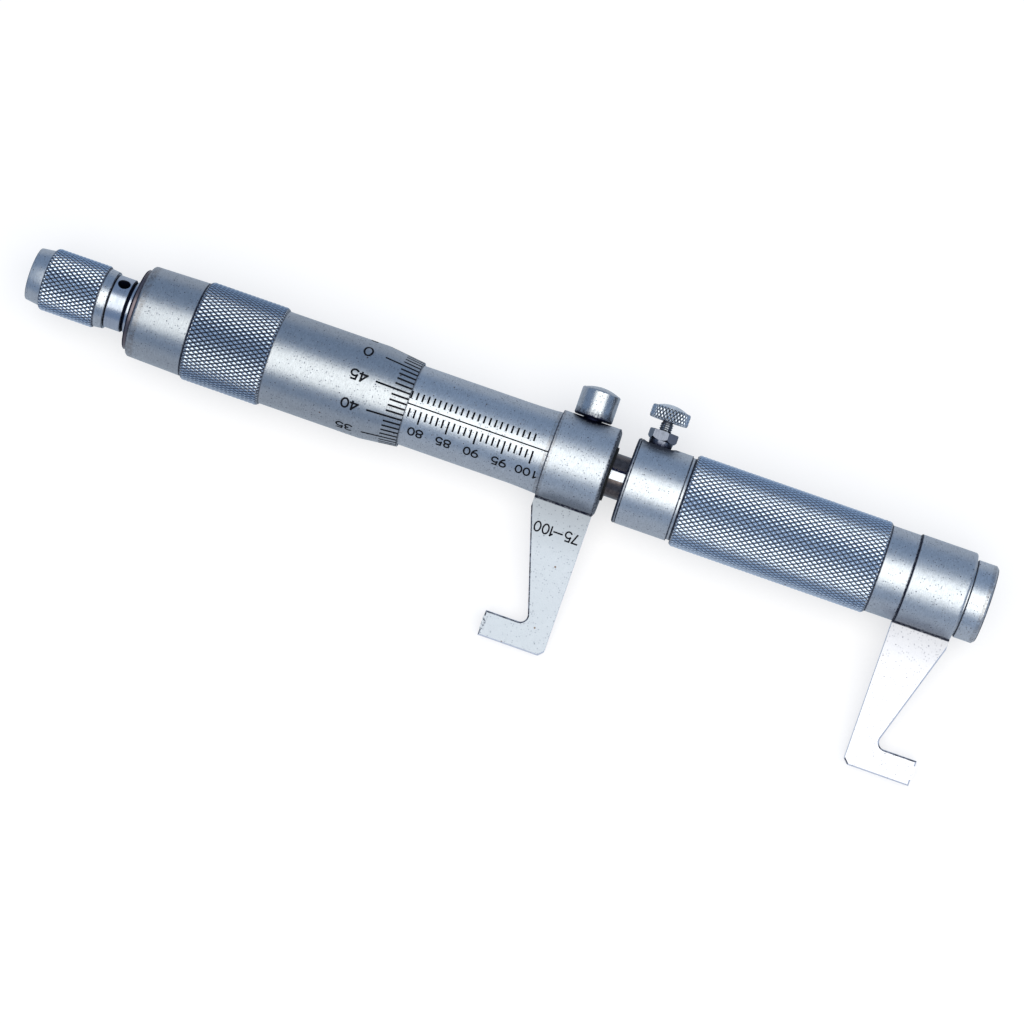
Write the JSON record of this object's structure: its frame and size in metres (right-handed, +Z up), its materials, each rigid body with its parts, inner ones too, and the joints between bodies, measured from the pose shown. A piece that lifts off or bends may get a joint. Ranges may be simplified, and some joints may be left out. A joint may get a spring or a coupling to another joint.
{
  "type": "inside micrometer",
  "caption": "Inside micrometer with two hooked caliper jaws, a ratchet thimble and a sliding knurled grip; turning the thimble spreads the jaws to gauge a bore.",
  "frame": {"origin": "middle of the bounding box on the ground, with the instrument lying on its thimble and jaw tips", "axes": "+X along the instrument's axis from the ratchet knob to the end cap, -Y towards the jaw tips, +Z up"},
  "size_m": [0.1722, 0.047, 0.0176],
  "materials": {
    "satin_chrome": "satin chrome plate",
    "jaw_steel": "ground and satin plated",
    "carbide": "lapped carbide",
    "rod_steel": "ground, oiled, stained",
    "screw_steel": "turned, satin plated",
    "inner_steel": "turned, oiled",
    "spring_steel": "drawn wire",
    "bronze": "turned",
    "seal_rubber": "matte black"
  },
  "bodies": {
    "sleeve_frame": {"sleeve": "satin_chrome", "inner_sleeve": "inner_steel", "adjusting_nut": "inner_steel", "fixed_jaw": "jaw_steel", "fixed_jaw_tip": "carbide", "guide_rod": "rod_steel", "rod_seal": "seal_rubber", "rod_clamp_screw": "screw_steel"},
    "slider": {"grip_tube": "satin_chrome", "guide_key": "screw_steel", "lock_bush": "screw_steel", "moving_jaw": "jaw_steel", "moving_jaw_tip": "carbide", "end_cap": "satin_chrome", "thrust_bush": "bronze", "thrust_spring": "spring_steel", "thrust_ball": "screw_steel"},
    "spindle_unit": {"spindle": "rod_steel", "spindle_nut": "screw_steel", "thimble": "satin_chrome", "thimble_washer": "screw_steel", "ratchet_body": "screw_steel", "ratchet_screw": "screw_steel"},
    "ratchet": {"ratchet_knob": "satin_chrome", "pawl_spring": "spring_steel"},
    "pawl": {"ratchet_pawl": "screw_steel"},
    "lock_pad_carrier": {"lock_pad": "bronze"},
    "lock": {"lock_screw": "screw_steel"}
  },
  "joints": [
    {"name": "jaw_slide", "type": "slide", "parent": "sleeve_frame", "child": "slider", "axis": [1, 0, 0], "range_m": [-0.00243, 0.02257]},
    {"name": "thimble_turn", "type": "hinge", "parent": "slider", "child": "spindle_unit", "pos_m": [-0.01739, 0.00913, 0.0088], "axis": [1, 0, 0], "range_deg": [-1750.1, 16250.9]},
    {"name": "ratchet_slip", "type": "hinge", "parent": "spindle_unit", "child": "ratchet", "pos_m": [-0.07187, 0.00913, 0.0088], "axis": [1, 0, 0], "continuous": true},
    {"name": "pawl_click", "type": "slide", "parent": "ratchet", "child": "pawl", "axis": [1, 0, 0], "range_m": [0, 0.00028]},
    {"name": "lock_travel", "type": "slide", "parent": "slider", "child": "lock_pad_carrier", "axis": [0, 0.9753, 0.221], "range_m": [-0.0001, 0.0008]},
    {"name": "lock_turn", "type": "hinge", "parent": "lock_pad_carrier", "child": "lock", "pos_m": [0.02501, 0.01625, 0.01041], "axis": [0, 0.9753, 0.221], "range_deg": [-90.5, 720.5]}
  ],
  "couplings": [
    {"joint": "thimble_turn", "follows": "jaw_slide", "rad_per_m": 12566},
    {"joint": "lock_turn", "follows": "lock_travel", "rad_per_m": 15708}
  ]
}
